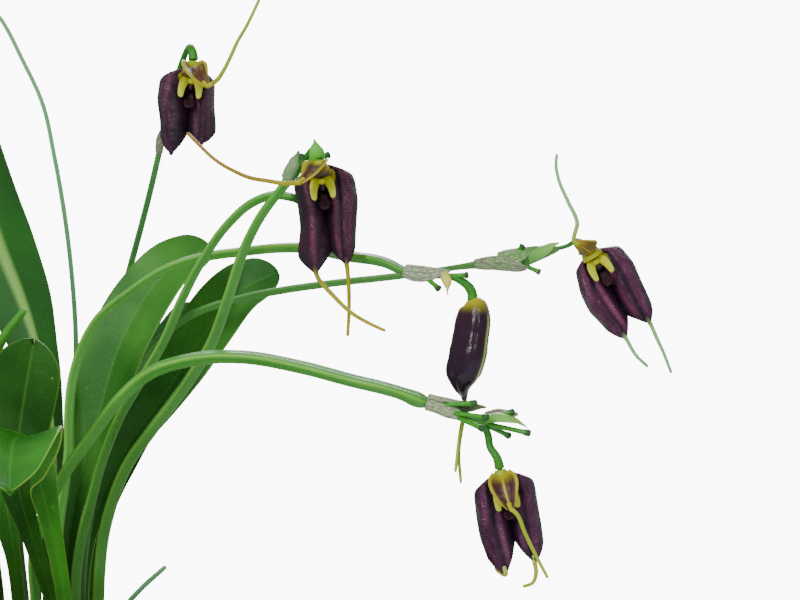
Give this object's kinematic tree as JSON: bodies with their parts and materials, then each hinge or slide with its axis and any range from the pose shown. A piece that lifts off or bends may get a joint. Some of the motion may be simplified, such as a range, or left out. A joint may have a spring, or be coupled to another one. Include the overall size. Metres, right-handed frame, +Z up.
{
  "type": "potted orchid",
  "caption": "Masdevallia orchid with strap-shaped leaves and nodding dark purple long-tailed blooms on arching stems, in a plain tapered clay pot.",
  "frame": {"origin": "centre of the pot's flat underside, on the surface it stands on", "axes": "+Z up along the pot's axis, +X to the side that the flower stems arch to, +Y to the plant's back"},
  "size_m": [0.1691, 0.1316, 0.1911],
  "materials": {
    "terracotta": "matt, unglazed",
    "potting_mix": "rough bark and moss",
    "leaf_green": "waxy, half gloss; stands in for leaf tissue",
    "stem_green": "smooth, half gloss; stands in for stem tissue",
    "bract_paper": "dry and netted",
    "sepal_purple": "fleshy, softly glossy; stands in for petal tissue",
    "petal_yellow": "fleshy; stands in for petal tissue",
    "lip_dark": "warty; stands in for petal tissue"
  },
  "bodies": {
    "root": {"bloom_high_calyx": "sepal_purple", "bloom_high_lip": "lip_dark", "bloom_high_petals": "petal_yellow", "bloom_low_calyx": "sepal_purple", "bloom_low_lip": "lip_dark", "bloom_low_petals": "petal_yellow", "bloom_middle_calyx": "sepal_purple", "bloom_middle_lip": "lip_dark", "bloom_middle_petals": "petal_yellow", "bloom_right_calyx": "sepal_purple", "bloom_right_lip": "lip_dark", "bloom_right_petals": "petal_yellow", "bract_bud_grey": "bract_paper", "bract_low_netted": "bract_paper", "bract_low_white": "bract_paper", "bud_dark": "sepal_purple", "bud_far": "sepal_purple", "bud_young": "stem_green", "leaf_arched_left": "leaf_green", "leaf_back_left": "leaf_green", "leaf_back_low": "leaf_green", "leaf_big_centre": "leaf_green", "leaf_dark_back": "leaf_green", "leaf_front_arched": "leaf_green", "leaf_front_left": "leaf_green", "leaf_front_low": "leaf_green", "leaf_left_edge": "leaf_green", "leaf_low_left": "leaf_green", "leaf_notched": "leaf_green", "leaf_right_back": "leaf_green", "leaf_tall_left": "leaf_green", "leaf_upright_back": "leaf_green", "pot": "terracotta", "potting_mix": "potting_mix", "shoot_left": "stem_green", "sprout_pale": "stem_green", "stem_bud": "stem_green", "stem_high": "stem_green", "stem_low": "stem_green", "stem_middle": "stem_green", "stem_right": "stem_green", "stem_tall_thin": "stem_green", "stem_young": "stem_green"}
  },
  "joints": []
}
